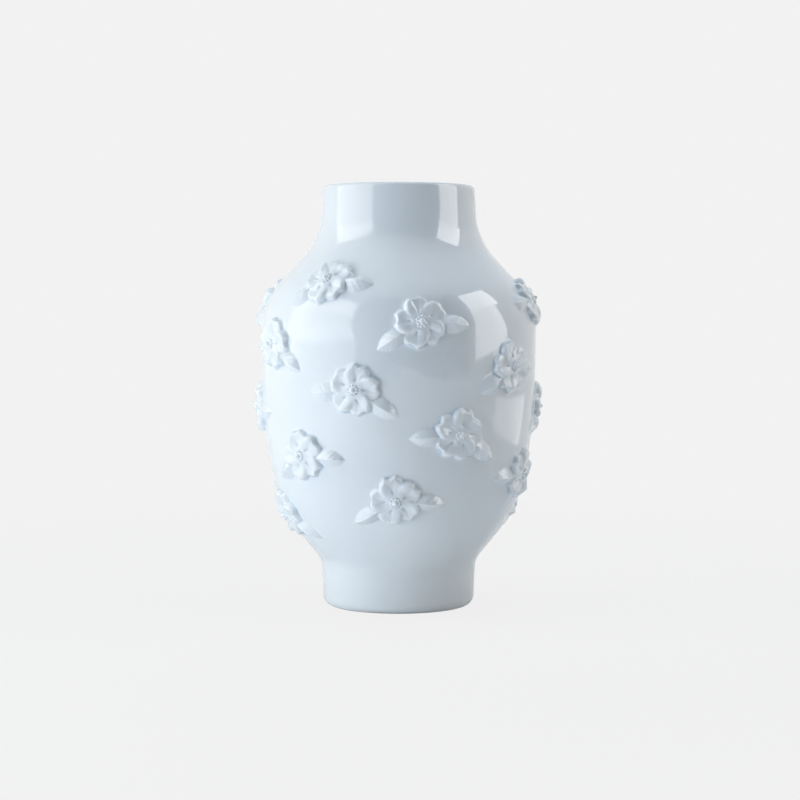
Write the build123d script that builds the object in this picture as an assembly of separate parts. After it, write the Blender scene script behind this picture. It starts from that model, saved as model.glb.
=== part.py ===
from build123d import *
import os
from math import acos, cos, degrees, hypot, radians, sin, sqrt, tan

# A porcelain vase: a cast body with a round foot, a broad belly and a short neck, and moulded
# blossom sprigs luted all round the belly. Lengths are in millimetres and angles in degrees.
# The body turns about Z, and its foot ring stands on Z = 0.

# Outline of the body: the outer radius and the rise of each corner, from the foot to the mouth
foot_radius = 50.2
waist_radius = 51.6
waist_rise = 31.0
hip_radius = 80.0
hip_rise = 34.5
belly_radius = 90.8
belly_rise = 54.5
shoulder_radius = 92.2
shoulder_rise = 82.0
collar_radius = 52.6
collar_rise = 42.8
mouth_radius = 50.7
neck_rise = 35.2

# Rounds of the corners, each cut down where the corner's two runs are too short for it
foot_edge_round = 6.8
waist_round = 12.0
hip_round = 85.0
belly_round = 290.0
shoulder_round = 44.0
collar_round = 42.0
lip_round = 2.5
longest_round_share = 0.48

# Wall, floor and the foot ring about a shallow recess
wall = 5.0
floor_thickness = 7.0
floor_round = 9.0
ring_width = 14.0
ring_round = 1.0
recess_depth = 3.0
recess_round = 1.2

# The straight throat under the lip, and how far above the collar it begins
lip_thickness = 5.2
throat_start = 13.2

# A blossom: dished round petals about a boss, and the gap that they leave in the middle
petal_count = 5
petal_radius = 8.3
petal_height = 6.0
petal_gap = 0.7
dish_radius = 12.0
dish_depth = 1.8
boss_radius = 4.4
boss_height = 7.4

# A pair of keeled leaves, tucked between the petals, with their roots off the middle
leaf_length = 24.0
leaf_width = 12.0
leaf_height = 4.6
leaf_root = 8.0
leaf_droop = 18.0

# The sprigs climb the belly in opposite pairs, each pair half a golden angle on from the last,
# and lean to the right and the left by turns. The gaps lie between waist, sprigs and collar.
pair_count = 12
golden_angle = 180 * (3 - sqrt(5))
first_turn = 20.0
lean = 14.0
lowest_sprig_gap = 42.0
highest_sprig_gap = 40.0


def inset_corner(before, corner, after, depth):
    """Where the two runs at a corner meet once both have moved to their left by depth."""
    ax, ay = corner[0] - before[0], corner[1] - before[1]
    bx, by = after[0] - corner[0], after[1] - corner[1]
    a_length, b_length = hypot(ax, ay), hypot(bx, by)
    ax, ay, bx, by = ax / a_length, ay / a_length, bx / b_length, by / b_length
    reach = depth / (1 + ax * bx + ay * by)
    return corner[0] - (ay + by) * reach, corner[1] + (ax + bx) * reach


def fitted_round(wanted, before, corner, after):
    """The wanted round, or the largest that the two runs at the corner have room for."""
    ax, ay = corner[0] - before[0], corner[1] - before[1]
    bx, by = after[0] - corner[0], after[1] - corner[1]
    a_length, b_length = hypot(ax, ay), hypot(bx, by)
    turn = acos((ax * bx + ay * by) / (a_length * b_length))
    return min(wanted, longest_round_share * min(a_length, b_length) / tan(turn / 2))


def fitted_rounds(corners, wanted):
    """The fitted round of each corner of a path but its first and last."""
    threes = zip(corners, corners[1:], corners[2:])
    return [fitted_round(size, *three) for size, three in zip(wanted, threes)]


# Corners of the outer skin, as radius and height, from the foot up to the mouth
waist_height = waist_rise
hip_height = waist_height + hip_rise
belly_height = hip_height + belly_rise
shoulder_height = belly_height + shoulder_rise
collar_height = shoulder_height + collar_rise
vase_height = collar_height + neck_rise
outer_corners = [
    (foot_radius, 0),
    (waist_radius, waist_height),
    (hip_radius, hip_height),
    (belly_radius, belly_height),
    (shoulder_radius, shoulder_height),
    (collar_radius, collar_height),
    (mouth_radius, vase_height),
]
outer_wanted = [waist_round, hip_round, belly_round, shoulder_round, collar_round]
outer_rounds = fitted_rounds(outer_corners, outer_wanted)

# Corners of the inner skin, one wall inside the outer one, from the floor up to the throat
floor_height = recess_depth + floor_thickness
throat_radius = mouth_radius - lip_thickness
outer_threes = zip(outer_corners, outer_corners[1:], outer_corners[2:])
inner_corners = [
    (foot_radius - wall, floor_height),
    *[inset_corner(*three, wall) for three in outer_threes],
    (throat_radius, collar_height + throat_start),
]

# The inner rounds keep the wall's thickness: wider at the hollow corners, tighter at the others
waist_fit, hip_fit, belly_fit, shoulder_fit, collar_fit = outer_rounds
inner_wanted = [waist_fit + wall, hip_fit - wall, belly_fit - wall, shoulder_fit - wall, collar_fit + wall]
inner_rounds = fitted_rounds(inner_corners, inner_wanted)


def in_section(corners):
    """Corners given as (radius, height), as points of the XZ plane."""
    return [(radius, 0, height) for radius, height in corners]


def turned(corners, rounds):
    """The solid that a closed outline in the XZ plane makes on its way round the axis."""
    outline = FilletPolyline(*in_section(corners), radius=rounds, close=True)
    return revolve(make_face(outline), axis=Axis.Z)


def vase_body():
    """The hollow body: its section runs from the underside up the outside and down the inside."""
    recess_radius = foot_radius - ring_width
    foot = [(0, recess_depth), (recess_radius, recess_depth), (recess_radius, 0), *outer_corners[:2]]
    foot_rounds = fitted_rounds(foot, [recess_round, ring_round, foot_edge_round])
    lip = [*outer_corners[-2:], (throat_radius, vase_height), inner_corners[-1]]
    lip_rounds = fitted_rounds(lip, [lip_round, lip_round])
    floor = [inner_corners[1], inner_corners[0], (0, floor_height)]
    floor_rounds = fitted_rounds(floor, [floor_round])
    corners = [
        *foot[:3],
        *outer_corners,
        (throat_radius, vase_height),
        *reversed(inner_corners),
        (0, floor_height),
    ]
    rounds = [0, *foot_rounds, *outer_rounds, *lip_rounds, 0, *reversed(inner_rounds), *floor_rounds, 0]
    return turned(corners, rounds)


def body_core():
    """All that lies inside the outer skin, which the backs of the sprigs are hollowed to fit."""
    return turned([(0, 0), *outer_corners, (0, vase_height)], [0, 0, *outer_rounds, 0, 0])


# The belly's skin between waist and collar, which the sprigs are set on
belly_skin = FilletPolyline(*in_section(outer_corners[1:-1]), radius=outer_rounds[1:-1])


def on_skin(along, around, turn):
    """The place at a distance up the belly's skin and round it, for a sprig at a turn."""
    point = belly_skin.position_at(along, position_mode=PositionMode.LENGTH)
    rise = belly_skin.tangent_at(along, position_mode=PositionMode.LENGTH)
    place = Plane(origin=point, x_dir=(0, 1, 0), z_dir=(rise.Z, 0, -rise.X)).location
    return Rot(Z=turn + degrees(around / point.X)) * place


def cap(radius, height):
    """A ball that meets the skin at a radius and stands a height proud of it."""
    ball = (radius**2 + height**2) / (2 * height)
    return Pos(Z=height - ball) * Sphere(ball)


def petal():
    """A round petal with a dished top."""
    dish = Pos(Z=petal_height - dish_depth + dish_radius) * Sphere(dish_radius)
    return cap(petal_radius, petal_height) - dish


def leaf():
    """A pointed leaf along X: what two crossing balls share, so that its keel is a curve."""
    half_length, half_width = leaf_length / 2, leaf_width / 2
    keel = (half_length**2 + leaf_height**2) / (2 * leaf_height)
    apart = (half_length**2 - half_width**2) / (2 * half_width)
    ball = hypot(keel, apart)
    sink = leaf_height - keel
    return Pos(0, apart, sink) * Sphere(ball) & Pos(0, -apart, sink) * Sphere(ball)


def blossom_sprig(along, turn, tilt):
    """A blossom and its two leaves on the skin, before the back is hollowed."""
    petal_step = 360 / petal_count
    petal_reach = petal_gap + petal_radius
    leaf_reach = leaf_root + leaf_length / 2
    shapes = [(petal(), 90 + petal_step * place, petal_reach) for place in range(petal_count)]
    shapes += [(leaf(), -leaf_droop, leaf_reach), (leaf(), 180 + leaf_droop, leaf_reach)]
    shapes += [(cap(boss_radius, boss_height), 0, 0)]
    placed = []
    for shape, direction, reach in shapes:
        heading = direction + tilt
        up, across = reach * sin(radians(heading)), reach * cos(radians(heading))
        placed.append(on_skin(along + up, across, turn) * Rot(Z=heading) * shape)
    return placed[0].fuse(*placed[1:])


# Build and write each piece
os.makedirs("parts", exist_ok=True)
export_step(vase_body(), "parts/vase_body.step")

core = body_core()
sprig_span = belly_skin.length - lowest_sprig_gap - highest_sprig_gap
sprig_step = sprig_span / (pair_count - 1)
for pair in range(pair_count):
    turn = first_turn + golden_angle / 2 * pair
    tilt = lean if pair % 2 else -lean
    sprig = blossom_sprig(lowest_sprig_gap + sprig_step * pair, turn, tilt) - core
    for side in range(2):
        number = pair * 2 + side + 1
        export_step(Rot(Z=180 * side) * sprig, f"parts/blossom_sprig_{number:02d}.step")
print("height", round(vase_height, 2), "throat radius", round(throat_radius, 2))
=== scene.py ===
import math

import bmesh
import bpy
import numpy as np
from bpy.props import FloatProperty, FloatVectorProperty, IntProperty, PointerProperty
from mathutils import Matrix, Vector


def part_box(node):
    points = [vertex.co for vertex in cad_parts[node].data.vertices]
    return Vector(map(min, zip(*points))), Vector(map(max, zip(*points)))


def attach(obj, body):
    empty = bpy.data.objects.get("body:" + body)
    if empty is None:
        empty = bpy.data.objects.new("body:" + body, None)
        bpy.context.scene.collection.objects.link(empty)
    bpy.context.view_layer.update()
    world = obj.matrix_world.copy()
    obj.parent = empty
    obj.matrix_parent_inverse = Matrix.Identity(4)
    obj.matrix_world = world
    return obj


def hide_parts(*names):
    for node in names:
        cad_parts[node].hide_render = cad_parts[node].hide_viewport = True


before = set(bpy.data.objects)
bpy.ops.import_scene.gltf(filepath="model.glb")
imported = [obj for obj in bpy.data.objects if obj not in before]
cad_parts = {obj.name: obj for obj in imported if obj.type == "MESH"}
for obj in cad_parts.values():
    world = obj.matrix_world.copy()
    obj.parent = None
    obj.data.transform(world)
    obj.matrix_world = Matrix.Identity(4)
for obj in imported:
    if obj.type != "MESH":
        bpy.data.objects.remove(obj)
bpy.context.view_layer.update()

bl_info = {
    "name": "Blossom Relief Vase",
    "version": (1, 0, 0),
    "blender": (4, 5, 0),
    "location": "3D View > Sidebar > Vase",
    "description": "Models a glazed porcelain vase with moulded blossom sprigs",
    "category": "Add Mesh",
}

VASE_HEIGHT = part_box("vase_body")[1].z
BODY = "root"
GOLDEN_ANGLE = 180 * (3 - math.sqrt(5))

# Points nearer to each other than this are one point, and nearer to a plane than this lie on it
TOUCHING = 1e-6
ON_PLANE = 1e-7


def length(name, description, default):
    """A length in metres that a user can change."""
    return FloatProperty(name=name, description=description, default=default, precision=4, unit="LENGTH")


def angle(name, description, degrees):
    """An angle that a user can change, given here in degrees."""
    return FloatProperty(name=name, description=description, default=math.radians(degrees), subtype="ANGLE")


def color(name, description, default):
    """A colour that a user can change."""
    return FloatVectorProperty(name=name, description=description, default=default, size=3, subtype="COLOR")


# Sizes and colours that a user would change


class VaseBodySettings(bpy.types.PropertyGroup):
    """Radii and heights of the body's corners from foot to mouth, and its wall, floor and foot ring."""

    height: length("Height", "Height of the vase", VASE_HEIGHT)
    foot_radius: length("Foot radius", "Outside of the foot", 0.0502)
    waist_radius: length("Waist radius", "Where the foot meets the belly", 0.0516)
    waist_height: length("Waist height", "Height of the waist", 0.031)
    hip_radius: length("Hip radius", "Lower bend of the belly", 0.080)
    hip_height: length("Hip height", "Height of the lower bend", 0.0655)
    belly_radius: length("Belly radius", "Middle bend of the belly", 0.0908)
    belly_height: length("Belly height", "Height of the middle bend", 0.120)
    shoulder_radius: length("Shoulder radius", "Upper bend of the belly", 0.0922)
    shoulder_height: length("Shoulder height", "Height of the upper bend", 0.202)
    collar_radius: length("Collar radius", "Root of the neck", 0.0526)
    collar_height: length("Collar height", "Height of the neck's root", 0.2448)
    mouth_radius: length("Mouth radius", "Outside of the lip", 0.0507)
    throat_height: length("Throat height", "Where the straight throat begins", 0.258)
    lip: length("Lip thickness", "Thickness of the lip", 0.0052)
    wall: length("Wall", "Thickness of the wall", 0.005)
    floor_height: length("Floor height", "Height of the floor inside", 0.010)
    ring_width: length("Ring width", "Width of the foot ring with its rounds", 0.014)
    recess_depth: length("Recess depth", "Depth of the recess under the base", 0.003)
    segments: IntProperty(name="Segments", description="Steps round the axis", default=256)


class SprigSettings(bpy.types.PropertyGroup):
    """Sizes of one moulded sprig, and how the sprigs climb the belly."""

    petal_count: IntProperty(name="Petals", description="Petals of a blossom", default=5)
    petal_radius: length("Petal radius", "Radius of a petal", 0.0083)
    petal_height: length("Petal height", "How proud a petal's dome stands before it is cupped", 0.0070)
    petal_gap: length("Petal gap", "From the blossom's middle to a petal", 0.0007)
    boss_radius: length("Boss radius", "Radius of the boss in the middle", 0.0042)
    boss_height: length("Boss height", "Height of the boss", 0.0056)
    stamen_count: IntProperty(name="Stamens", description="Stamens round the boss", default=10)
    stamen_radius: length("Stamen radius", "Radius of a stamen's head", 0.0008)
    leaf_length: length("Leaf length", "Length of a leaf", 0.024)
    leaf_width: length("Leaf width", "Width of a leaf", 0.012)
    leaf_height: length("Leaf height", "Height of a leaf's keel", 0.0042)
    leaf_root: length("Leaf root", "From the blossom's middle to a leaf's root", 0.008)
    leaf_droop: angle("Leaf droop", "How far the leaves hang below level", 18)
    skin_step: length("Skin step", "Spacing of the points of the relief's skin", 0.0004)
    pair_count: IntProperty(name="Pairs", description="Opposite pairs of sprigs up the belly", default=12)
    first_turn: angle("First turn", "Where the lowest pair stands", 20)
    pair_turn: angle("Pair turn", "Turn from one pair to the next: half a golden angle", GOLDEN_ANGLE / 2)
    lean: angle("Lean", "Lean of the sprigs to one side and the other", 14)
    lowest: length("Lowest", "Height of the lowest pair's middles", 0.064613)
    highest: length("Highest", "Height of the highest pair's middles", 0.215439)


class FinishSettings(bpy.types.PropertyGroup):
    """Colours of the glaze and of the bare foot."""

    glaze: color("Glaze", "Glaze over the smooth skin", (0.785, 0.855, 0.905))
    # The hollows' colour is partly glaze lying thick there and partly painted shade: it is made darker than
    # the glaze so that the relief's recesses look shaded
    pooled_and_shaded: color("Pooled glaze", "Glaze where it lies thick in the hollows", (0.52, 0.64, 0.735))
    thin: color("Thin glaze", "Glaze where it has drawn off the crests", (0.83, 0.88, 0.915))
    bare: color("Bare porcelain", "Foot ring, wiped bare of glaze", (0.78, 0.76, 0.72))
    rubbed: color("Rubbed porcelain", "Foot ring where it has rubbed grey", (0.62, 0.60, 0.57))


# Shared modelling steps


def deselect_all():
    """Leaves object mode with nothing selected."""
    if bpy.context.object and bpy.context.object.mode != "OBJECT":
        bpy.ops.object.mode_set(mode="OBJECT")
    bpy.ops.object.select_all(action="DESELECT")


def activate(piece, *others):
    """Selects pieces, with the first as the active one."""
    deselect_all()
    for other in (piece, *others):
        other.select_set(True)
    bpy.context.view_layer.objects.active = piece


def edit(piece):
    """Opens a piece in edit mode with all of it selected."""
    activate(piece)
    bpy.ops.object.mode_set(mode="EDIT")
    bpy.ops.mesh.select_mode(type="VERT")
    bpy.ops.mesh.select_all(action="SELECT")
    return bmesh.from_edit_mesh(piece.data)


def close(piece):
    """Leaves edit mode."""
    bpy.ops.object.mode_set(mode="OBJECT")
    return piece


def select_vertices(piece, chosen):
    """In edit mode, selects the vertices that a test on their place picks."""
    bpy.ops.mesh.select_mode(type="VERT")
    bpy.ops.mesh.select_all(action="DESELECT")
    mesh = bmesh.from_edit_mesh(piece.data)
    for vertex in mesh.verts:
        vertex.select = bool(chosen(vertex.co))
    mesh.select_flush(True)
    bmesh.update_edit_mesh(piece.data)


def remove(*pieces):
    """Deletes helper pieces and their meshes."""
    for piece in pieces:
        mesh = piece.data
        bpy.data.objects.remove(piece)
        bpy.data.meshes.remove(mesh)


def apply_modifier(piece, kind, **values):
    """Adds a modifier with its values and applies it."""
    activate(piece)
    modifier = piece.modifiers.new(kind.lower(), kind)
    for name, value in values.items():
        setattr(modifier, name, value)
    bpy.ops.object.modifier_apply(modifier=modifier.name)


def join(pieces):
    """Joins pieces into the first one."""
    activate(*pieces)
    bpy.ops.object.join()
    return pieces[0]


def turn_copy(piece, turn):
    """A copy of a piece with its own mesh, turned about the Z axis."""
    activate(piece)
    bpy.ops.object.duplicate(linked=False)
    copy = bpy.context.object
    edit(copy)
    bpy.ops.transform.rotate(value=-turn, orient_axis="Z", center_override=(0, 0, 0))
    return close(copy)


def pull(piece, point, move, reach, line_end=None):
    """In edit mode, moves the surface at a point or along a line, and less and less out to a reach."""
    start = Vector(point)
    run = Vector(line_end) - start if line_end else Vector((0, 0, 0))
    reach_to_grip = 12
    grip = reach / reach_to_grip

    def on_line(co):
        share = max(0, min(1, (co - start).dot(run) / run.length_squared)) if line_end else 0
        apart = co - start - run * share
        return math.hypot(apart.x, apart.y) < grip and abs(apart.z) < reach

    mesh = bmesh.from_edit_mesh(piece.data)
    if not any(on_line(vertex.co) for vertex in mesh.verts):
        raise RuntimeError(f"no point of {piece.name} lies near {tuple(start)}")
    select_vertices(piece, on_line)
    bpy.ops.transform.translate(
        value=move,
        use_proportional_edit=True,
        proportional_edit_falloff="SMOOTH",
        proportional_size=reach,
    )


def finish_piece(piece, name, node, *materials):
    """Names a piece, gives it its finish and sets it on its body in place of its node."""
    piece.name = piece.data.name = name
    for material in materials:
        piece.data.materials.append(material)
    activate(piece)
    bpy.ops.object.shade_smooth()
    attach(piece, BODY)
    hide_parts(node)
    return piece


# The cast body

# The longest edge of its section, and the height under which the foot ring is bare
LONGEST_EDGE = 0.003
GLAZE_LINE = 0.0003

# Radius and steps of the bend at each corner of the section, from the underside to the floor inside
BENDS = [
    (0.0012, 4),  # edge of the recess
    (0.0010, 4),  # foot ring, inner edge
    (0.0068, 14),  # foot ring, outer edge
    (0.012, 8),  # waist
    (0.085, 18),  # hip
    (0.290, 24),  # belly
    (0.044, 20),  # shoulder
    (0.042, 16),  # collar
    (0.0025, 8),  # lip, outer edge
    (0.0025, 8),  # lip, inner edge
    None,  # lower end of the throat, left sharp
    (0.0238, 6),  # collar, inside
    (0.039, 10),  # shoulder, inside
    (0.285, 10),  # belly, inside
    (0.080, 8),  # hip, inside
    (0.017, 6),  # waist, inside
    (0.009, 6),  # edge of the floor
]


def in_order(vertices):
    """Vertices that edges join into one open line, in order from its lower end."""
    line = set(vertices)

    def beside(vertex):
        return [edge.other_vert(vertex) for edge in vertex.link_edges if edge.other_vert(vertex) in line]

    order = [min((vertex for vertex in line if len(beside(vertex)) == 1), key=lambda vertex: vertex.co.z)]
    line.remove(order[0])
    while beside(order[-1]):
        order.append(beside(order[-1])[0])
        line.remove(order[-1])
    return order


def outer_side(order):
    """The part of the section's line that comes before its highest point: underside and outside."""
    return order[: order.index(max(order, key=lambda vertex: vertex.co.z)) + 1]


def outline_wire(corners):
    """A wire through corners given as (radius, height): one vertex, extruded from each corner to the next."""
    plane_size = 0.01
    bpy.ops.mesh.primitive_plane_add(size=plane_size, location=(0, 0, 0))
    wire = bpy.context.object
    edit(wire)
    bpy.ops.mesh.merge(type="CENTER")
    bpy.ops.transform.translate(value=(corners[0][0], 0, corners[0][1]))
    for start, end in zip(corners, corners[1:]):
        step = (end[0] - start[0], 0, end[1] - start[1])
        bpy.ops.mesh.extrude_vertices_move(TRANSFORM_OT_translate={"value": step})
    return wire


def round_corner(wire, before, corner, after, radius, segments):
    """Bevels the corner's vertex, so that the two runs meet in a bend of that radius."""
    turn = (Vector(corner) - Vector(before)).angle(Vector(after) - Vector(corner))
    place = Vector((corner[0], 0, corner[1]))
    select_vertices(wire, lambda co: (co - place).length < TOUCHING)
    bpy.ops.mesh.bevel(offset=radius * math.tan(turn / 2), segments=segments, affect="VERTICES")


def halve_long_edges(wire, longest):
    """Halves the edges of a wire, and halves them again, until none is longer than the longest allowed."""
    while True:
        bpy.ops.mesh.select_mode(type="EDGE")
        bpy.ops.mesh.select_all(action="DESELECT")
        mesh = bmesh.from_edit_mesh(wire.data)
        for edge in mesh.edges:
            edge.select = edge.calc_length() > longest
        if not any(edge.select for edge in mesh.edges):
            return
        bmesh.update_edit_mesh(wire.data)
        bpy.ops.mesh.subdivide(number_cuts=1)


def inset_corner(before, corner, after, depth):
    """Where the two runs at a corner meet once both have moved to their left by depth."""
    first = (Vector(corner) - Vector(before)).normalized()
    second = (Vector(after) - Vector(corner)).normalized()
    reach = depth / (1 + first.dot(second))
    return corner[0] - (first.y + second.y) * reach, corner[1] + (first.x + second.x) * reach


class VASE_OT_make_body(bpy.types.Operator):
    """Turns the hollow body of the vase from its section"""

    bl_idname = "vase.make_body"
    bl_label = "Make Vase Body"

    def execute(self, context):
        sizes = context.scene.vase_body
        recess = sizes.foot_radius - sizes.ring_width
        throat = sizes.mouth_radius - sizes.lip
        outer = [
            (sizes.foot_radius, 0),
            (sizes.waist_radius, sizes.waist_height),
            (sizes.hip_radius, sizes.hip_height),
            (sizes.belly_radius, sizes.belly_height),
            (sizes.shoulder_radius, sizes.shoulder_height),
            (sizes.collar_radius, sizes.collar_height),
            (sizes.mouth_radius, sizes.height),
        ]
        inner = [inset_corner(*three, sizes.wall) for three in zip(outer, outer[1:], outer[2:])]
        corners = [
            (0, sizes.recess_depth),
            (recess, sizes.recess_depth),
            (recess, 0),
            *outer,
            (throat, sizes.height),
            (throat, sizes.throat_height),
            *reversed(inner),
            (sizes.foot_radius - sizes.wall, sizes.floor_height),
            (0, sizes.floor_height),
        ]
        deselect_all()
        body = outline_wire(corners)
        for three, bend in zip(zip(corners, corners[1:], corners[2:]), BENDS):
            if bend:
                round_corner(body, *three, *bend)
        halve_long_edges(body, LONGEST_EDGE)
        self.even_out(body, sizes)
        bpy.ops.mesh.select_all(action="SELECT")
        bpy.ops.mesh.spin(
            steps=sizes.segments, angle=math.tau, center=(0, 0, 0), axis=(0, 0, 1), use_auto_merge=True
        )
        bpy.ops.mesh.select_all(action="SELECT")
        bpy.ops.mesh.remove_doubles(threshold=TOUCHING)
        bpy.ops.mesh.normals_make_consistent(inside=False)
        close(body)
        finish_piece(body, "glazed_body", "vase_body", glaze_material(context), bare_material(context))
        for face in body.data.polygons:
            face.material_index = int(face.center.z < GLAZE_LINE)
        return {"FINISHED"}

    def even_out(self, wire, sizes):
        """Evens out the outer skin, where its bends run into its straight stretches."""
        mesh = bmesh.from_edit_mesh(wire.data)
        margin = 2 * sizes.wall
        low, high = margin, sizes.height - margin
        outside = outer_side(in_order(mesh.verts))
        chosen = {vertex.index for vertex in outside if low < vertex.co.z < high}
        bpy.ops.mesh.select_mode(type="VERT")
        bpy.ops.mesh.select_all(action="DESELECT")
        for vertex in mesh.verts:
            vertex.select = vertex.index in chosen
        mesh.select_flush(True)
        bmesh.update_edit_mesh(wire.data)
        bpy.ops.mesh.vertices_smooth(factor=0.5, repeat=8)


# The moulded sprigs


def add_ball(size, place, detail=5):
    """A ball stretched to a half size along each axis, with its place in its mesh."""
    deselect_all()
    bpy.ops.mesh.primitive_ico_sphere_add(subdivisions=detail, radius=1, location=(0, 0, 0))
    ball = bpy.context.object
    edit(ball)
    bpy.ops.transform.resize(value=size, center_override=(0, 0, 0))
    bpy.ops.transform.translate(value=place)
    return close(ball)


def add_petal(sizes):
    """A cupped petal on the +X side of the middle, notched at its end, with one side over the next petal."""
    radius, height = sizes.petal_radius, sizes.petal_height
    middle = sizes.petal_gap + radius
    end = middle + radius
    half_height = 0.5 * height
    cup_depth, cup_reach = 0.0036, 0.0084
    notch_height, notch_depth, notch_reach = 0.001, 0.0020, 0.0042
    side_x, side_y, side_reach = middle + 0.3 * radius, 0.72 * radius, 0.0062
    upper_lift, lower_sink = 0.0009, 0.0011
    groove_start, groove_end = middle - 0.35 * radius, end - 0.24 * radius
    groove_depth, groove_reach = 0.00035, 0.0013
    groove_sides = (-0.32 * radius, 0, 0.32 * radius)

    petal = add_ball((radius, radius, height), (middle, 0, 0), detail=6)
    edit(petal)
    pull(petal, (middle, 0, height), (0, 0, -cup_depth), cup_reach)
    pull(petal, (end, 0, notch_height), (-notch_depth, 0, 0), notch_reach)
    pull(petal, (side_x, side_y, half_height), (0, 0, upper_lift), side_reach)
    pull(petal, (side_x, -side_y, half_height), (0, 0, -lower_sink), side_reach)
    for side in groove_sides:
        start, stop = (groove_start, 0, half_height), (groove_end, side, half_height)
        pull(petal, start, (0, 0, -groove_depth), groove_reach, line_end=stop)
    return close(petal)


def add_vein(ball, center, start, heading, width, sink):
    """A raised vein: the ring that a leaf's ball has above a line, kept from its start outwards."""
    line = Vector((math.cos(heading), math.sin(heading), 0))
    across = Vector((-line.y, line.x, 0))
    offset = (Vector(center) - Vector(start)).dot(across)
    foot = Vector(center) - across * offset
    deselect_all()
    bpy.ops.mesh.primitive_torus_add(
        major_radius=math.sqrt(ball**2 - offset**2) - sink,
        minor_radius=width / 2,
        major_segments=240,
        minor_segments=8,
    )
    vein = bpy.context.object
    edit(vein)
    bpy.ops.transform.rotate(value=math.pi / 2, orient_axis="X", center_override=(0, 0, 0))
    bpy.ops.transform.rotate(value=-heading, orient_axis="Z", center_override=(0, 0, 0))
    bpy.ops.transform.translate(value=foot)
    bpy.ops.mesh.select_all(action="SELECT")
    bpy.ops.mesh.bisect(plane_co=start, plane_no=line, clear_inner=True, threshold=ON_PLANE)
    return close(vein)


def add_leaf(sizes):
    """A keeled leaf on the +X side of the middle: what two balls share, with raised veins."""
    half_length, half_width, height = sizes.leaf_length / 2, sizes.leaf_width / 2, sizes.leaf_height
    keel = (half_length**2 + height**2) / (2 * height)
    apart = (half_length**2 - half_width**2) / (2 * half_width)
    ball = math.hypot(keel, apart)
    middle = sizes.leaf_root + half_length
    low = height - keel
    midrib_width, midrib_sink = 0.0013, 0.0003
    vein_width, vein_sink, vein_slant = 0.0009, 0.0002, math.radians(42)
    vein_shares = (-0.30, 0.02, 0.34, 0.62)

    leaf = add_ball((ball,) * 3, (middle, apart, low), detail=6)
    other = add_ball((ball,) * 3, (middle, -apart, low), detail=6)
    apply_modifier(leaf, "BOOLEAN", operation="INTERSECT", object=other, solver="EXACT")
    remove(other)
    root = (middle - half_length, 0, 0)
    parts = [leaf, add_vein(keel, (middle, 0, low), root, 0, midrib_width, midrib_sink)]
    for share in vein_shares:
        for side in (-1, 1):
            start = (middle + share * half_length, 0, 0)
            center = (middle, -side * apart, low)
            parts.append(add_vein(ball, center, start, side * vein_slant, vein_width, vein_sink))
    return join(parts)


def drape(step, *moulds):
    """A sheet of fine squares dropped on moulds from above, finer still over the blossom's middle."""
    width, depth, middle = 0.074, 0.046, 0.0052
    start_height = 0.02
    deselect_all()
    bpy.ops.mesh.primitive_grid_add(
        x_subdivisions=round(width / step), y_subdivisions=round(depth / step), size=1, location=(0, 0, 0)
    )
    sheet = bpy.context.object
    edit(sheet)
    bpy.ops.transform.resize(value=(width, depth, 1), center_override=(0, 0, 0))
    bpy.ops.transform.translate(value=(0, 0, start_height))
    select_vertices(sheet, lambda co: math.hypot(co.x, co.y) < middle)
    bpy.ops.mesh.subdivide(number_cuts=1)
    close(sheet)
    apply_modifier(
        sheet,
        "SHRINKWRAP",
        wrap_method="PROJECT",
        use_project_z=True,
        use_negative_direction=True,
        use_positive_direction=False,
        target=moulds[0],
        auxiliary_target=moulds[-1],
    )
    return sheet


def settle(sheet, times):
    """Rounds a draped sheet off, as glaze does, without moving its points sideways."""
    apply_modifier(sheet, "SMOOTH", factor=0.5, iterations=times, use_x=False, use_y=False)


def heights(sheet):
    """The height of each point of a sheet."""
    points = np.empty(len(sheet.data.vertices) * 3, np.float32)
    sheet.data.vertices.foreach_get("co", points)
    return points[2::3]


def add_bench():
    """The flat that the mould of a sprig lies on, wider than the sheets that are draped on it."""
    bench_size = 0.12
    deselect_all()
    bpy.ops.mesh.primitive_plane_add(size=bench_size, location=(0, 0, 0))
    return bpy.context.object


def add_middle(sizes):
    """The parts of the blossom's middle: a boss, a ring of stamens on it and a larger one on its top."""
    ring, rise = 0.68 * sizes.boss_radius, 0.79 * sizes.boss_height
    head, top_head = sizes.stamen_radius, 1.6 * sizes.stamen_radius
    parts = [add_ball((sizes.boss_radius, sizes.boss_radius, sizes.boss_height), (0, 0, 0))]
    for place in range(sizes.stamen_count):
        turn = math.tau * place / sizes.stamen_count
        spot = (ring * math.cos(turn), ring * math.sin(turn), rise)
        parts.append(add_ball((head,) * 3, spot, detail=3))
    parts.append(add_ball((top_head,) * 3, (0, 0, sizes.boss_height), detail=3))
    return parts


def add_mould(sizes):
    """The mould of a sprig on its bench: the petals, two leaves and the blossom's middle."""
    upwards = math.pi / 2
    step = math.tau / sizes.petal_count
    petal = add_petal(sizes)
    parts = [turn_copy(petal, upwards + step * place) for place in range(sizes.petal_count)]
    leaf = add_leaf(sizes)
    parts += [turn_copy(leaf, -sizes.leaf_droop), turn_copy(leaf, math.pi + sizes.leaf_droop)]
    parts += add_middle(sizes)
    remove(petal, leaf)
    return join([add_bench(), *parts])


def glaze_over(mould, step):
    """The skin of a sprig over its mould, with a soft skirt of glaze and with its relief as an attribute."""
    detail_rounds, skirt_rounds, last_rounds = 3, 90, 2
    skirt_share = 0.34
    detail = drape(step, mould)
    settle(detail, detail_rounds)
    skirt = drape(step, mould)
    settle(skirt, skirt_rounds)
    edit(skirt)
    bpy.ops.transform.resize(value=(1, 1, skirt_share), center_override=(0, 0, 0))
    close(skirt)
    skin = drape(step, detail, skirt)
    settle(skin, last_rounds)
    relief = heights(skin) - heights(skirt) / skirt_share
    skin.data.attributes.new("relief", "FLOAT", "POINT").data.foreach_set("value", relief)
    remove(detail, skirt)
    return skin


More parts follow.
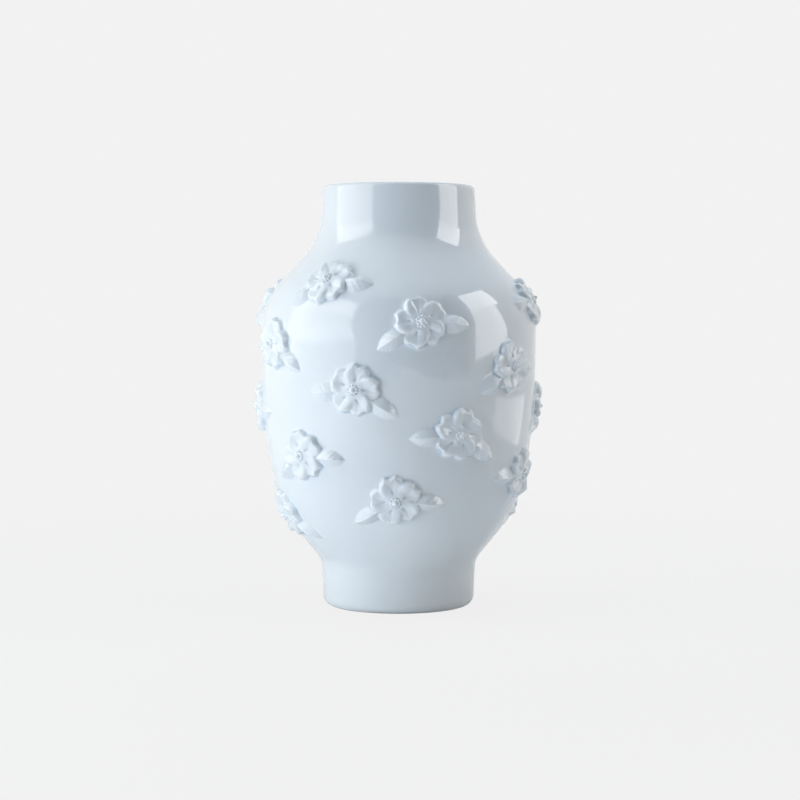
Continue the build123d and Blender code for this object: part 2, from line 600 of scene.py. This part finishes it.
def add_sprig(sizes):
    """One sprig on the flat, as a closed solid whose back lies a little under the body's skin."""
    margin, buried, back = 0.00003, 0.00003, 0.0004
    mould = add_mould(sizes)
    sprig = glaze_over(mould, sizes.skin_step)
    remove(mould)
    edit(sprig)
    bpy.ops.mesh.bisect(plane_co=(0, 0, margin), plane_no=(0, 0, 1), clear_inner=True, threshold=ON_PLANE)
    bpy.ops.mesh.select_all(action="SELECT")
    bpy.ops.transform.translate(value=(0, 0, -margin - buried))
    bpy.ops.mesh.extrude_region_move(TRANSFORM_OT_translate={"value": (0, 0, -back)})
    bpy.ops.transform.resize(value=(1, 1, 0), center_override=(0, 0, -back))
    bpy.ops.mesh.select_all(action="SELECT")
    bpy.ops.mesh.normals_make_consistent(inside=False)
    return close(sprig)


class Skin:
    """The body's outer skin as a line of radius and height, measured along itself."""

    def __init__(self, body):
        mesh = bmesh.new()
        mesh.from_mesh(body.data)
        section = [v for v in mesh.verts if abs(v.co.y) < ON_PLANE and v.co.x > TOUCHING]
        line = np.array([(v.co.x, v.co.z) for v in outer_side(in_order(section))])
        mesh.free()
        line = line[np.argmax(line[:, 0] > line[0, 0]) :]
        steps = np.hypot(*np.diff(line, axis=0).T)
        self.radius, self.height = line.T
        self.along = np.concatenate([[0], np.cumsum(steps)])
        self.out = np.gradient(self.height, self.along), -np.gradient(self.radius, self.along)

    def at_height(self, height):
        """How far along the skin it reaches a height, above the foot ring's bends."""
        above_ring = self.height > 0.02
        return float(np.interp(height, self.height[above_ring], self.along[above_ring]))

    def wrap(self, piece, along, turn, lean):
        """Lays a flat piece on the skin: X goes round it, Y up it and Z out of it."""
        points = np.empty(len(piece.data.vertices) * 3)
        piece.data.vertices.foreach_get("co", points)
        x, y, z = points.reshape(-1, 3).T
        place = along + x * math.sin(lean) + y * math.cos(lean)
        radius, height, out, up = (
            np.interp(place, self.along, line) for line in (self.radius, self.height, *self.out)
        )
        turns = turn + (x * math.cos(lean) - y * math.sin(lean)) / radius
        radius = radius + out * z
        laid = np.stack([radius * np.cos(turns), radius * np.sin(turns), height + up * z], axis=1)
        piece.data.vertices.foreach_set("co", laid.ravel())
        piece.data.update()


class VASE_OT_make_sprigs(bpy.types.Operator):
    """Models one sprig and lays its copies on the belly in opposite pairs"""

    bl_idname = "vase.make_sprigs"
    bl_label = "Make Blossom Sprigs"

    def execute(self, context):
        sizes = context.scene.vase_sprigs
        skin = Skin(bpy.data.objects["glazed_body"])
        low, high = skin.at_height(sizes.lowest), skin.at_height(sizes.highest)
        master = add_sprig(sizes)
        glaze = glaze_material(context)
        for pair in range(sizes.pair_count):
            sprig = turn_copy(master, 0)
            along = low + (high - low) * pair / (sizes.pair_count - 1)
            skin.wrap(
                sprig,
                along,
                sizes.first_turn + sizes.pair_turn * pair,
                sizes.lean if pair % 2 else -sizes.lean,
            )
            for side, piece in enumerate((sprig, turn_copy(sprig, math.pi))):
                number = 2 * pair + side + 1
                finish_piece(piece, f"glazed_sprig_{number:02d}", f"blossom_sprig_{number:02d}", glaze)
        remove(master)
        return {"FINISHED"}


# Finishes


def new_tree(owner):
    """The emptied node tree of a material or world."""
    owner.use_nodes = True
    owner.node_tree.nodes.clear()
    return owner.node_tree


def add_node(tree, kind, values=(), **settings):
    """A node with its settings, and with values or links in its inputs."""
    node = tree.nodes.new(kind)
    for name, value in settings.items():
        setattr(node, name, value)
    for place, value in dict(values).items():
        if isinstance(value, bpy.types.NodeSocket):
            tree.links.new(value, node.inputs[place])
        else:
            node.inputs[place].default_value = value
    return node


def rgba(shade):
    """A colour with its alpha, as sockets take it."""
    return (*shade, 1)


def step_mask(tree, value, start, end):
    """A mask that rises smoothly from 0 to 1 as a value goes from start to end."""
    values = {"Value": value, "From Min": start, "From Max": end}
    return add_node(tree, "ShaderNodeMapRange", values, interpolation_type="SMOOTHSTEP").outputs["Result"]


def mix_colors(tree, mask, first, second):
    """One colour or the other, by a mask. The node's sockets share names, so they go by number."""
    color_a, color_b, color_result = 6, 7, 2
    values = {"Factor": mask, color_a: first, color_b: second}
    return add_node(tree, "ShaderNodeMix", values, data_type="RGBA").outputs[color_result]


def noise(tree, scale, detail):
    """Soft noise from the place on the vase, with its scale per metre."""
    place = add_node(tree, "ShaderNodeTexCoord").outputs["Object"]
    values = {"Vector": place, "Scale": scale, "Detail": detail}
    return add_node(tree, "ShaderNodeTexNoise", values).outputs["Fac"]


def bump(tree, height, distance, normal=None):
    """Turns a height, times a distance in metres, into a normal."""
    values = {"Height": height, "Distance": distance, "Strength": 1}
    if normal:
        values["Normal"] = normal
    return add_node(tree, "ShaderNodeBump", values).outputs["Normal"]


def surface_group(name, inputs, outputs):
    """An empty node group with its sockets, and the nodes that stand for them."""
    group = bpy.data.node_groups.new(name, "ShaderNodeTree")
    for socket, kind in inputs.items():
        group.interface.new_socket(socket, in_out="INPUT", socket_type=kind)
    for socket, kind in outputs.items():
        group.interface.new_socket(socket, in_out="OUTPUT", socket_type=kind)
    return group, add_node(group, "NodeGroupInput"), add_node(group, "NodeGroupOutput")


def glaze_depth_group():
    """Glaze that gathers thick and bluer in the hollows, where its colour is darkened further as painted
    shade, thins out on the crests and lies in a faint swell.
    """
    group, given, made = surface_group(
        "glaze_depth",
        {"Glaze": "NodeSocketColor", "Pooled and shaded": "NodeSocketColor", "Thin": "NodeSocketColor"},
        {"Color": "NodeSocketColor", "Roughness": "NodeSocketFloat", "Normal": "NodeSocketVector"},
    )
    cloud_share = 0.35
    clouds = step_mask(group, noise(group, scale=16, detail=2), start=0.35, end=0.75)
    clouds = add_node(group, "ShaderNodeMath", {0: clouds, 1: cloud_share}, operation="MULTIPLY").outputs[0]
    relief = add_node(group, "ShaderNodeAttribute", attribute_name="relief").outputs["Fac"]
    crests = step_mask(group, relief, start=0.0001, end=0.0012)
    hollows = step_mask(group, relief, start=-0.0001, end=-0.0011)
    shade = mix_colors(group, clouds, given.outputs["Glaze"], given.outputs["Thin"])
    shade = mix_colors(group, crests, shade, given.outputs["Thin"])
    # Painted shade: the relief's hollows take a darker, bluer colour, partly thick glaze and partly shade
    # painted into the colour
    shade = mix_colors(group, hollows, shade, given.outputs["Pooled and shaded"])
    values = {"Value": noise(group, scale=60, detail=3), "To Min": 0.03, "To Max": 0.06}
    roughness = add_node(group, "ShaderNodeMapRange", values).outputs["Result"]
    swell = bump(group, noise(group, scale=26, detail=1), distance=0.0009)
    peel = bump(group, noise(group, scale=420, detail=1), distance=0.00001, normal=swell)
    for socket, value in (("Color", shade), ("Roughness", roughness), ("Normal", peel)):
        group.links.new(value, made.inputs[socket])
    return group


def bare_grain_group():
    """Unglazed porcelain: fine grain, and grey where it has rubbed on tables."""
    group, given, made = surface_group(
        "bare_grain",
        {"Clean": "NodeSocketColor", "Rubbed": "NodeSocketColor"},
        {"Color": "NodeSocketColor", "Roughness": "NodeSocketFloat", "Normal": "NodeSocketVector"},
    )
    rubbed = step_mask(group, noise(group, scale=90, detail=4), start=0.45, end=0.7)
    grain = noise(group, scale=2600, detail=2)
    values = {"Value": grain, "To Min": 0.62, "To Max": 0.85}
    roughness = add_node(group, "ShaderNodeMapRange", values).outputs["Result"]
    shade = mix_colors(group, rubbed, given.outputs["Clean"], given.outputs["Rubbed"])
    normal = bump(group, grain, distance=0.00004)
    for socket, value in (("Color", shade), ("Roughness", roughness), ("Normal", normal)):
        group.links.new(value, made.inputs[socket])
    return group


def finish_material(name, group, shades, ior):
    """A material whose colour, roughness and normal come from a group."""
    material = bpy.data.materials.new(name)
    tree = new_tree(material)
    surface = add_node(tree, "ShaderNodeGroup", node_tree=group)
    for socket, shade in shades.items():
        surface.inputs[socket].default_value = rgba(shade)
    values = {
        "Base Color": surface.outputs["Color"],
        "Roughness": surface.outputs["Roughness"],
        "Normal": surface.outputs["Normal"],
        "IOR": ior,
    }
    shader = add_node(tree, "ShaderNodeBsdfPrincipled", values)
    add_node(tree, "ShaderNodeOutputMaterial", {"Surface": shader.outputs[0]})
    return material


def glaze_material(context):
    """Glossy bluish-white glaze, one material for the body and its sprigs."""
    name = "porcelain_glaze"
    made = bpy.data.materials.get(name)
    if made:
        return made
    finish = context.scene.vase_finish
    shades = {"Glaze": finish.glaze, "Pooled and shaded": finish.pooled_and_shaded, "Thin": finish.thin}
    return finish_material(name, glaze_depth_group(), shades, ior=1.56)


def bare_material(context):
    """Bare fired porcelain under the foot."""
    finish = context.scene.vase_finish
    shades = {"Clean": finish.bare, "Rubbed": finish.rubbed}
    return finish_material("bare_porcelain", bare_grain_group(), shades, ior=1.5)


# The studio

WHITE = (1.0, 1.0, 1.0)

# The background as the camera sees it, the floor under lamplight and the dark of the room
PALE = (0.888, 0.888, 0.888)
FLOOR_SHADE = (0.84, 0.84, 0.84)
ROOM_SHADE = (0.02, 0.02, 0.02)

# How plain the floor is near the vase, to mirrors and to the camera, and where it gets wholly plain
PLAIN_TO_MIRRORS, PLAIN_TO_CAMERA = 0.2, 0.93
FADE_START, FADE_END = 0.25, 0.9

LAMPS = [
    # name, turn to the camera's left, distance, height of its middle, width, height, brightness, colour
    ("left_lamp", 92, 1.6, 1.15, 0.92, 1.30, 4.2, (1.0, 0.94, 0.79)),
    ("right_lamp", -94, 1.6, 1.25, 1.20, 1.10, 3.5, (1.0, 0.94, 0.86)),
    ("low_card", 50, 0.7, 0.11, 0.58, 0.22, 5.5, (0.84, 0.90, 1.0)),
    ("ceiling_lamp", 0, 0, 1.8, 1.9, 1.9, 1.8, (0.73, 0.85, 0.99)),
    ("rear_card", 180, 1.6, 0.62, 1.85, 1.12, 1.2, (0.97, 0.98, 1.0)),
]
MIRRORED_WINDOWS = [
    # as the lamps, but only the mirror in the glaze sees them
    ("left_panes", 65.5, 1.6, 0.58, 1.67, 0.95, 1.4, WHITE),
    ("left_frame", 98, 1.6, 0.58, 0.28, 0.95, 1.6, WHITE),
    ("left_top_panes", 70.5, 1.6, 1.40, 2.04, 0.70, 2.6, WHITE),
    ("right_panes", -81, 1.6, 0.56, 0.98, 0.88, 3.4, WHITE),
    ("right_top_panes", -83.5, 1.6, 1.43, 1.13, 0.86, 4.4, WHITE),
    ("right_sill", -103, 0.6, 0.05, 0.46, 0.10, 1.1, WHITE),
    ("skylight", 0, 0, 1.8, 1.9, 1.9, 2.4, (0.88, 0.97, 1.0)),
]
WALLS = [
    # name, first and last turn to the camera's left, brightness in the glaze
    ("front_wall", -62, 38, 0.08),
    ("right_wall", -180, -62, 0.86),
]


class VASE_OT_make_stage(bpy.types.Operator):
    """Lays the floor, hangs the lamps and sets up the camera"""

    bl_idname = "vase.make_stage"
    bl_label = "Make Stage"

    def execute(self, context):
        self.lay_floor()
        self.light_room(context)
        for wall in WALLS:
            self.raise_wall(*wall)
        for lamp in LAMPS:
            self.hang_lamp(context, *lamp).visible_glossy = False
        for window in MIRRORED_WINDOWS:
            self.hang_lamp(context, *window).visible_diffuse = False
        self.set_camera(context)
        context.scene.view_settings.view_transform = "Standard"
        return {"FINISHED"}

    def hang_lamp(self, context, name, turn, far, rise, width, height, brightness, shade):
        """A rectangular lamp that faces the vase across the room, or faces down from above it."""
        light = bpy.data.lights.new(name, "AREA")
        light.shape = "RECTANGLE"
        light.size, light.size_y, light.color = width, height, shade
        light.energy = brightness * math.pi * width * height
        lamp = bpy.data.objects.new(name, light)
        turn = math.radians(turn)
        lamp.location = (-far * math.sin(turn), -far * math.cos(turn), rise)
        lamp.rotation_euler = (math.pi / 2 if far else 0, 0, -turn)
        lamp.visible_camera = False
        context.scene.collection.objects.link(lamp)
        return lamp

    def raise_wall(self, name, start, end, brightness):
        """A dim round wall that tones down the rim of the glaze, and that only its mirror sees."""
        far, height = 2.0, 2.6
        deselect_all()
        bpy.ops.mesh.primitive_circle_add(vertices=90, radius=far, fill_type="NOTHING", location=(0, 0, 0))
        wall = bpy.context.object
        wall.name = wall.data.name = name
        middle, half = math.radians(start + end) / 2, math.radians(end - start) / 2
        toward = Vector((-math.sin(middle), -math.cos(middle), 0))
        edit(wall)
        select_vertices(wall, lambda co: co.angle(toward) > half)
        bpy.ops.mesh.delete(type="VERT")
        bpy.ops.mesh.select_all(action="SELECT")
        bpy.ops.mesh.extrude_region_move(TRANSFORM_OT_translate={"value": (0, 0, height)})
        close(wall)
        material = bpy.data.materials.new(name)
        tree = new_tree(material)
        glow = add_node(tree, "ShaderNodeEmission", {"Strength": brightness}).outputs[0]
        add_node(tree, "ShaderNodeOutputMaterial", {"Surface": glow})
        wall.data.materials.append(material)
        wall.visible_camera = wall.visible_diffuse = wall.visible_shadow = False

    def lay_floor(self):
        """A round floor, lit as a real one but shown to the camera in the pale colour of the room."""
        deselect_all()
        bpy.ops.mesh.primitive_circle_add(vertices=96, radius=4, fill_type="NGON", location=(0, 0, 0))
        floor = bpy.context.object
        floor.name = floor.data.name = "floor"
        material = bpy.data.materials.new("pale_floor")
        tree = new_tree(material)
        lit = add_node(tree, "ShaderNodeBsdfDiffuse", {"Color": rgba(FLOOR_SHADE)}).outputs[0]
        plain = add_node(tree, "ShaderNodeEmission", {"Color": rgba(PALE)}).outputs[0]
        values = {0: self.plain_share(tree), 1: lit, 2: plain}
        both = add_node(tree, "ShaderNodeMixShader", values).outputs[0]
        add_node(tree, "ShaderNodeOutputMaterial", {"Surface": both})
        floor.data.materials.append(material)

    def plain_share(self, tree):
        """How much of the plain pale colour the floor shows: all of it far from the vase."""
        place = add_node(tree, "ShaderNodeTexCoord").outputs["Object"]
        far = add_node(tree, "ShaderNodeVectorMath", {0: place}, operation="LENGTH").outputs["Value"]
        camera = add_node(tree, "ShaderNodeLightPath").outputs["Is Camera Ray"]
        values = {"Value": camera, "To Min": PLAIN_TO_MIRRORS, "To Max": PLAIN_TO_CAMERA}
        near = add_node(tree, "ShaderNodeMapRange", values).outputs["Result"]
        values = {"Value": far, "From Min": FADE_START, "From Max": FADE_END, "To Min": near, "To Max": 1}
        fade = add_node(tree, "ShaderNodeMapRange", values, interpolation_type="SMOOTHSTEP").outputs["Result"]
        values = {0: fade, 1: self.seen(tree)}
        return add_node(tree, "ShaderNodeMath", values, operation="MULTIPLY").outputs[0]

    def seen(self, tree):
        """1 for what the camera, a mirror or glass sees, and 0 for light that falls on things."""
        path = add_node(tree, "ShaderNodeLightPath").outputs
        seen = path["Is Camera Ray"]
        for ray in ("Is Glossy Ray", "Is Transmission Ray"):
            seen = add_node(tree, "ShaderNodeMath", {0: seen, 1: path[ray]}, operation="MAXIMUM").outputs[0]
        return seen

    def light_room(self, context):
        """A dim room that the camera and the mirror in the glaze see as pale."""
        context.scene.world = context.scene.world or bpy.data.worlds.new("room")
        tree = new_tree(context.scene.world)
        room = add_node(tree, "ShaderNodeBackground", {"Color": rgba(ROOM_SHADE)}).outputs[0]
        plain = add_node(tree, "ShaderNodeBackground", {"Color": rgba(PALE)}).outputs[0]
        both = add_node(tree, "ShaderNodeMixShader", {0: self.seen(tree), 1: room, 2: plain}).outputs[0]
        add_node(tree, "ShaderNodeOutputWorld", {"Surface": both})

    def set_camera(self, context):
        """The photograph's view: from a table's length away, level with the shoulder, a little downwards."""
        far, rise, tilt = 1.33, 0.200, 2.7
        lens = bpy.data.cameras.new("camera")
        lens.lens, lens.sensor_width, lens.shift_x = 89.4, 36, 0.0019
        camera = bpy.data.objects.new("camera", lens)
        camera.location = (0, -far, rise)
        camera.rotation_euler = (math.radians(90 - tilt), 0, 0)
        context.scene.collection.objects.link(camera)
        context.scene.camera = camera


class VASE_PT_panel(bpy.types.Panel):
    """Lists the vase's operators and settings"""

    bl_label = "Blossom Relief Vase"
    bl_idname = "VASE_PT_panel"
    bl_space_type = "VIEW_3D"
    bl_region_type = "UI"
    bl_category = "Vase"

    def draw(self, context):
        for operator in OPERATORS:
            self.layout.operator(operator.bl_idname)
        for name in SETTINGS:
            group = getattr(context.scene, name)
            box = self.layout.box()
            for prop in group.bl_rna.properties:
                if prop.identifier not in {"rna_type", "name"}:
                    box.prop(group, prop.identifier)


OPERATORS = (VASE_OT_make_body, VASE_OT_make_sprigs, VASE_OT_make_stage)
SETTINGS = {"vase_body": VaseBodySettings, "vase_sprigs": SprigSettings, "vase_finish": FinishSettings}
CLASSES = (*SETTINGS.values(), *OPERATORS, VASE_PT_panel)


def register():
    """Registers the classes, and puts their settings on the scene."""
    for cls in CLASSES:
        bpy.utils.register_class(cls)
    for name, settings in SETTINGS.items():
        setattr(bpy.types.Scene, name, PointerProperty(type=settings))


def unregister():
    """Takes the settings off the scene and the classes out again."""
    for name in SETTINGS:
        delattr(bpy.types.Scene, name)
    for cls in reversed(CLASSES):
        bpy.utils.unregister_class(cls)


def main():
    """Makes the stage and the vase."""
    register()
    bpy.ops.vase.make_stage()
    bpy.ops.vase.make_body()
    bpy.ops.vase.make_sprigs()


if __name__ == "__main__":
    main()
